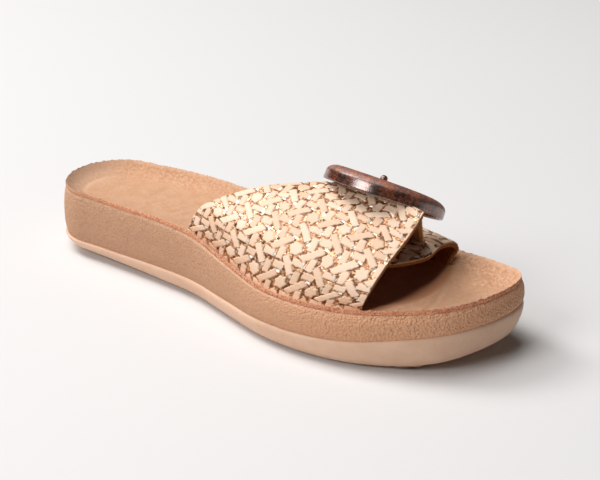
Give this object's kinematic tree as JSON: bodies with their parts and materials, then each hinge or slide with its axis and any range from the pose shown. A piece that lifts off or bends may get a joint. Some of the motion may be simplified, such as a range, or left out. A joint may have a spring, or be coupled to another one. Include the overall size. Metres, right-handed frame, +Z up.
{
  "type": "slide sandal",
  "caption": "Slide sandal with a moulded boat-shaped sole, a leather footbed, crossed cane-weave straps and a large round metal buckle.",
  "frame": {"origin": "middle of the bounding box on the floor", "axes": "+X from heel to toe, +Y towards the inner side of the right foot, +Z up"},
  "size_m": [0.2502, 0.0898, 0.0744],
  "materials": {
    "outsole": "matte pale peach moulded rubber",
    "midsole": "tan foam with a fine moulded grain",
    "footbed_leather": "tan suede with a red-brown cut edge",
    "strap_leather": "cream cane weave over a rose-gold foil ground",
    "buckle_metal": "antique copper, satin"
  },
  "bodies": {
    "root": {"outsole": "outsole", "midsole": "midsole", "insole": "footbed_leather", "upper": "strap_leather", "buckle_ring": "buckle_metal", "buckle_prong": "buckle_metal"}
  },
  "joints": []
}
